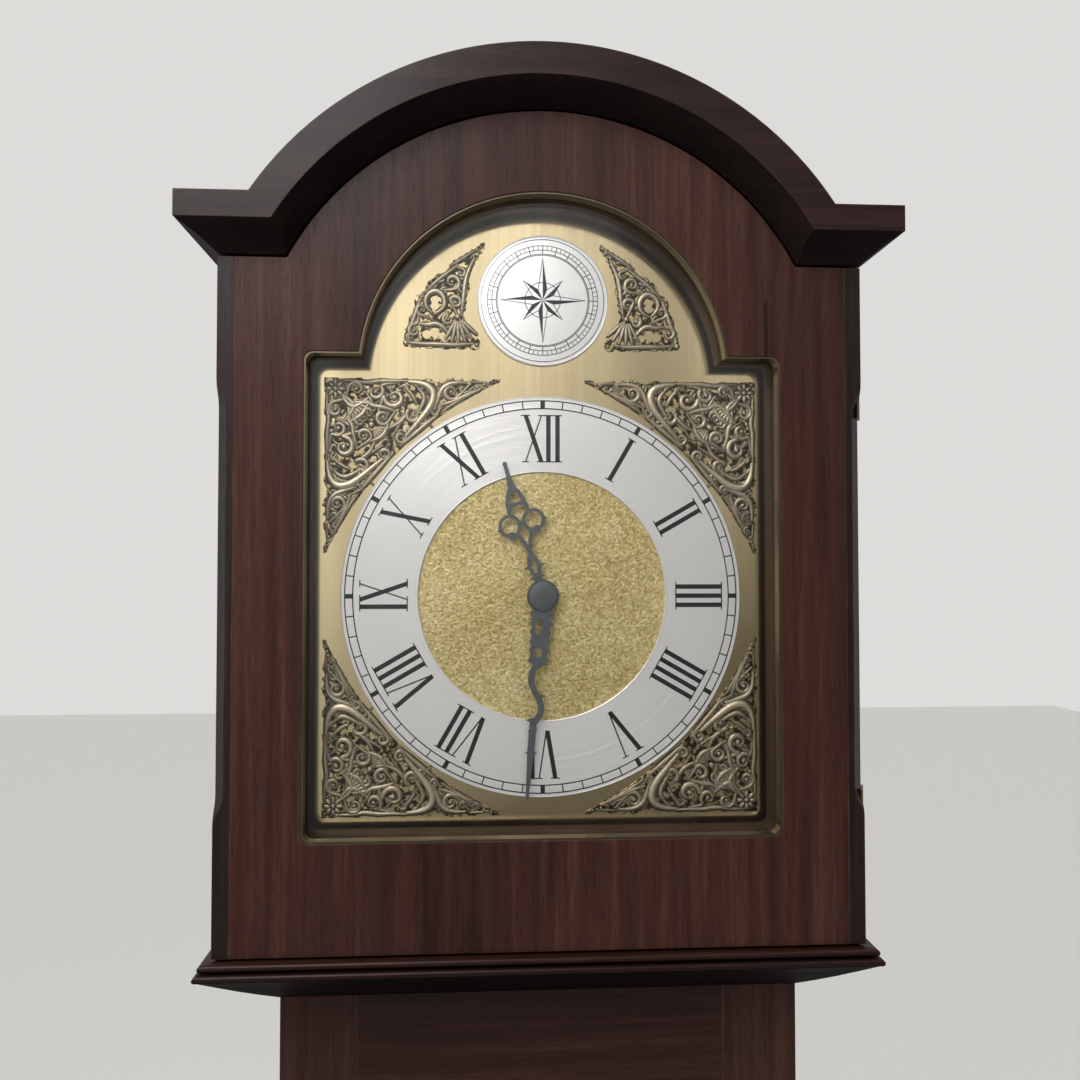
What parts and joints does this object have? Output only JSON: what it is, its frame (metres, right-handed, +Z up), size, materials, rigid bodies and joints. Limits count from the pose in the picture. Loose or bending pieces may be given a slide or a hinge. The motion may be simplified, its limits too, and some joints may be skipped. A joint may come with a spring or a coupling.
{
  "type": "longcase clock",
  "caption": "Break-arch grandmother clock: mahogany case with glazed hood door, brass dial with silvered chapter ring, weight-driven train and seconds pendulum.",
  "frame": {"origin": "on the floor, under the centre of the overall box", "axes": "+X to the viewer's right, +Y to the clock's back, +Z up; the dial faces -Y"},
  "size_m": [0.3654, 0.217, 1.7504],
  "materials": {
    "mahogany": "satin veneer and solid wood",
    "wood_back": "plain inner wood",
    "wood_mask": "dark stained board",
    "brass_dial": "brushed and lacquered",
    "brass_matted": "matted gilt",
    "brass_antique": "dark antique cast",
    "brass_movement": "polished",
    "brass_fitting": "lacquered",
    "brass_slip": "gilt edge",
    "brass_chain": "polished links",
    "brass_weight": "polished case",
    "silvered_ring": "silvered",
    "steel_arbor": "plain steel",
    "black_steel": "black",
    "clear_glass": "clear"
  },
  "bodies": {
    "case": {"backboard": "wood_back", "plinth_floor": "wood_back", "plinth_front": "mahogany", "plinth_side_left": "mahogany", "plinth_side_right": "mahogany", "skirting": "mahogany", "plinth_moulding": "mahogany", "trunk_side_left": "mahogany", "trunk_side_right": "mahogany", "trunk_stile_left": "mahogany", "trunk_stile_right": "mahogany", "trunk_rails": "mahogany", "neck_moulding": "mahogany", "hood_side_left": "mahogany", "hood_side_right": "mahogany", "hood_roof": "mahogany", "crown": "mahogany", "dial_mask": "wood_mask", "dial_plate": "brass_dial", "dial_centre": "brass_matted", "chapter_ring": "silvered_ring", "boss": "brass_dial", "spandrel_upper_right": "brass_antique", "spandrel_lower_right": "brass_antique", "spandrel_lower_left": "brass_antique", "spandrel_upper_left": "brass_antique", "arch_spandrels": "brass_antique", "seatboard": "wood_back", "front_plate": "brass_movement", "back_plate": "brass_movement", "back_cock": "brass_movement", "chain_bend": "brass_chain", "chain_weight_run": "brass_chain", "chain_free_run": "brass_chain", "hinges_fixed": "brass_fitting"},
    "hood_door_leaf": {"hood_door": "mahogany", "hood_lipping_left": "mahogany", "hood_lipping_right": "mahogany", "hood_slip": "brass_slip", "hood_glass": "clear_glass", "hood_hinges_moving": "brass_fitting"},
    "trunk_door_leaf": {"trunk_door": "mahogany", "trunk_hinges_moving": "brass_fitting"},
    "trunk_door_catch": {"trunk_catch": "brass_fitting"},
    "minute_group": {"minute_hand": "black_steel", "cannon_pinion": "steel_arbor"},
    "hour_group": {"hour_hand": "black_steel", "hour_wheel": "brass_movement"},
    "minute_wheel_group": {"minute_wheel": "brass_movement"},
    "centre_group": {"centre_arbor": "brass_movement"},
    "great_group": {"great_wheel": "brass_movement"},
    "third_group": {"third_arbor": "brass_movement"},
    "escape_group": {"escape_arbor": "brass_movement"},
    "sprocket_group": {"sprocket": "brass_movement"},
    "pallet_group": {"pallets": "steel_arbor"},
    "pendulum_group": {"pendulum": "steel_arbor"},
    "bob_group": {"bob": "brass_weight"},
    "rating_nut_group": {"rating_nut": "brass_weight"},
    "weight_group": {"weight": "brass_weight"},
    "ring_group": {"chain_ring": "brass_chain"}
  },
  "joints": [
    {"name": "hood_door_hinge", "type": "hinge", "parent": "case", "child": "hood_door_leaf", "pos_m": [0.1671, -0.0795, 1.472], "axis": [0, 0, 1], "range_deg": [0, 110]},
    {"name": "trunk_door_hinge", "type": "hinge", "parent": "case", "child": "trunk_door_leaf", "pos_m": [0.1087, -0.0659, 0.84], "axis": [0, 0, 1], "range_deg": [0, 105]},
    {"name": "trunk_catch_turn", "type": "hinge", "parent": "trunk_door_leaf", "child": "trunk_door_catch", "pos_m": [-0.0898, -0.063, 0.8644], "axis": [0, 1, 0], "range_deg": [0, 90]},
    {"name": "minute_hand_turn", "type": "hinge", "parent": "case", "child": "minute_group", "pos_m": [0, -0.0765, 1.472], "axis": [0, 1, 0], "continuous": true},
    {"name": "hour_hand_turn", "type": "hinge", "parent": "case", "child": "hour_group", "pos_m": [0, -0.0745, 1.472], "axis": [0, 1, 0], "continuous": true},
    {"name": "minute_wheel_turn", "type": "hinge", "parent": "case", "child": "minute_wheel_group", "pos_m": [0.01573, -0.0585, 1.46099], "axis": [0, 1, 0], "continuous": true},
    {"name": "centre_turn", "type": "hinge", "parent": "case", "child": "centre_group", "pos_m": [0, -0.0315, 1.472], "axis": [0, 1, 0], "continuous": true},
    {"name": "great_turn", "type": "hinge", "parent": "case", "child": "great_group", "pos_m": [0, -0.0215, 1.4356], "axis": [0, 1, 0], "continuous": true},
    {"name": "third_turn", "type": "hinge", "parent": "case", "child": "third_group", "pos_m": [0.0119, -0.0315, 1.49261], "axis": [0, 1, 0], "continuous": true},
    {"name": "escape_turn", "type": "hinge", "parent": "case", "child": "escape_group", "pos_m": [0, -0.0255, 1.51064], "axis": [0, 1, 0], "continuous": true},
    {"name": "weight_drop", "type": "slide", "parent": "case", "child": "weight_group", "axis": [0, 0, -1], "range_m": [-0.25, 0.6], "deforming": ["chain_weight_run"]},
    {"name": "ring_rise", "type": "slide", "parent": "case", "child": "ring_group", "axis": [0, 0, 1], "range_m": [-0.25, 0.6], "deforming": ["chain_free_run"]},
    {"name": "sprocket_wind", "type": "hinge", "parent": "great_group", "child": "sprocket_group", "pos_m": [0, -0.0135, 1.4356], "axis": [0, 1, 0], "continuous": true},
    {"name": "pendulum_swing", "type": "hinge", "parent": "case", "child": "pendulum_group", "pos_m": [0, 0.0305, 1.5346], "axis": [0, 1, 0], "range_deg": [-2.5, 2.5]},
    {"name": "pallet_rock", "type": "hinge", "parent": "case", "child": "pallet_group", "pos_m": [0, -0.0115, 1.5346], "axis": [0, 1, 0], "range_deg": [-2.5, 2.5]},
    {"name": "bob_slide", "type": "slide", "parent": "pendulum_group", "child": "bob_group", "axis": [0, 0, 1], "range_m": [-0.004, 0.004]},
    {"name": "rating_nut_turn", "type": "hinge", "parent": "bob_group", "child": "rating_nut_group", "pos_m": [0, 0.0305, 0.4786], "axis": [0, 0, 1], "range_deg": [-1440.5, 1440.5]}
  ],
  "couplings": [
    {"joint": "hour_hand_turn", "follows": "minute_hand_turn", "ratio": 0.083333},
    {"joint": "minute_wheel_turn", "follows": "minute_hand_turn", "ratio": -0.33333},
    {"joint": "great_turn", "follows": "centre_turn", "ratio": -0.083333},
    {"joint": "third_turn", "follows": "centre_turn", "ratio": -7.5},
    {"joint": "escape_turn", "follows": "centre_turn", "ratio": 60},
    {"joint": "ring_rise", "follows": "weight_drop", "ratio": 1},
    {"joint": "sprocket_wind", "follows": "weight_drop", "rad_per_m": -71.429},
    {"joint": "pallet_rock", "follows": "pendulum_swing", "ratio": 1},
    {"joint": "rating_nut_turn", "follows": "bob_slide", "rad_per_m": 6283.2}
  ]
}
